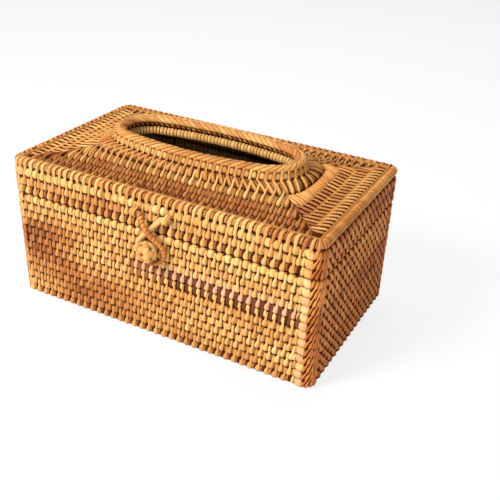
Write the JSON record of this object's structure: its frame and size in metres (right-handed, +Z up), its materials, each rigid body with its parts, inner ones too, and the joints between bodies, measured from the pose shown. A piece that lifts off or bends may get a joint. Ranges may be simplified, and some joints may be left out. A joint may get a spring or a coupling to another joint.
{
  "type": "tissue box",
  "caption": "Rectangular coiled cane tissue box with a hinged lid, a raised oval slot in a folded border, and a crossed cane loop that fastens over a ball knob.",
  "frame": {"origin": "centre of the underside of the floor, on the table", "axes": "+X along the length to the right as seen from the front, +Y to the back where the lid is hinged, +Z up"},
  "size_m": [0.225, 0.1451, 0.1191],
  "materials": {
    "bound_cane": "semi-gloss",
    "floor_cane": "satin",
    "edge_wrap": "semi-gloss",
    "slot_braid": "semi-gloss",
    "slot_wrap": "semi-gloss",
    "peel_tie": "semi-gloss",
    "knob_peel": "semi-gloss",
    "peg_cane": "matte",
    "loop_cane": "semi-gloss"
  },
  "bodies": {
    "box": {"wall_course_01": "bound_cane", "wall_course_02": "bound_cane", "wall_course_03": "bound_cane", "wall_course_04": "bound_cane", "wall_course_05": "bound_cane", "wall_course_06": "bound_cane", "wall_course_07": "bound_cane", "wall_course_08": "bound_cane", "wall_course_09": "bound_cane", "wall_course_10": "bound_cane", "wall_course_11": "bound_cane", "wall_course_12": "bound_cane", "wall_course_13": "bound_cane", "floor_course_01": "floor_cane", "floor_course_02": "floor_cane", "floor_course_03": "floor_cane", "floor_course_04": "floor_cane", "floor_course_05": "floor_cane", "floor_course_06": "floor_cane", "floor_course_07": "floor_cane", "floor_course_08": "floor_cane", "floor_course_09": "floor_cane", "floor_heart_cane": "floor_cane", "hinge_tie_left": "peel_tie", "hinge_tie_right": "peel_tie", "knob_ball": "knob_peel", "knob_peg": "peg_cane", "knob_inner_stop": "peg_cane"},
    "lid": {"lid_course_01": "bound_cane", "lid_course_02": "bound_cane", "lid_course_03": "bound_cane", "lid_edge_roll": "edge_wrap", "crown_course_01": "bound_cane", "crown_course_02": "bound_cane", "crown_course_03": "bound_cane", "crown_course_04": "bound_cane", "crown_course_05": "bound_cane", "slot_border_roll": "slot_braid", "slot_lining_ring": "slot_wrap", "loop_eyelet_left": "peel_tie", "loop_eyelet_right": "peel_tie"},
    "clasp_loop": {"clasp_loop": "loop_cane"}
  },
  "joints": [
    {"name": "lid_hinge", "type": "hinge", "parent": "box", "child": "lid", "pos_m": [0, 0.0619, 0.0804], "axis": [-1, 0, 0], "range_deg": [0, 100]},
    {"name": "clasp_swing", "type": "hinge", "parent": "lid", "child": "clasp_loop", "pos_m": [0, -0.0676, 0.0897], "axis": [-1, 0, 0], "range_deg": [0, 150]}
  ]
}
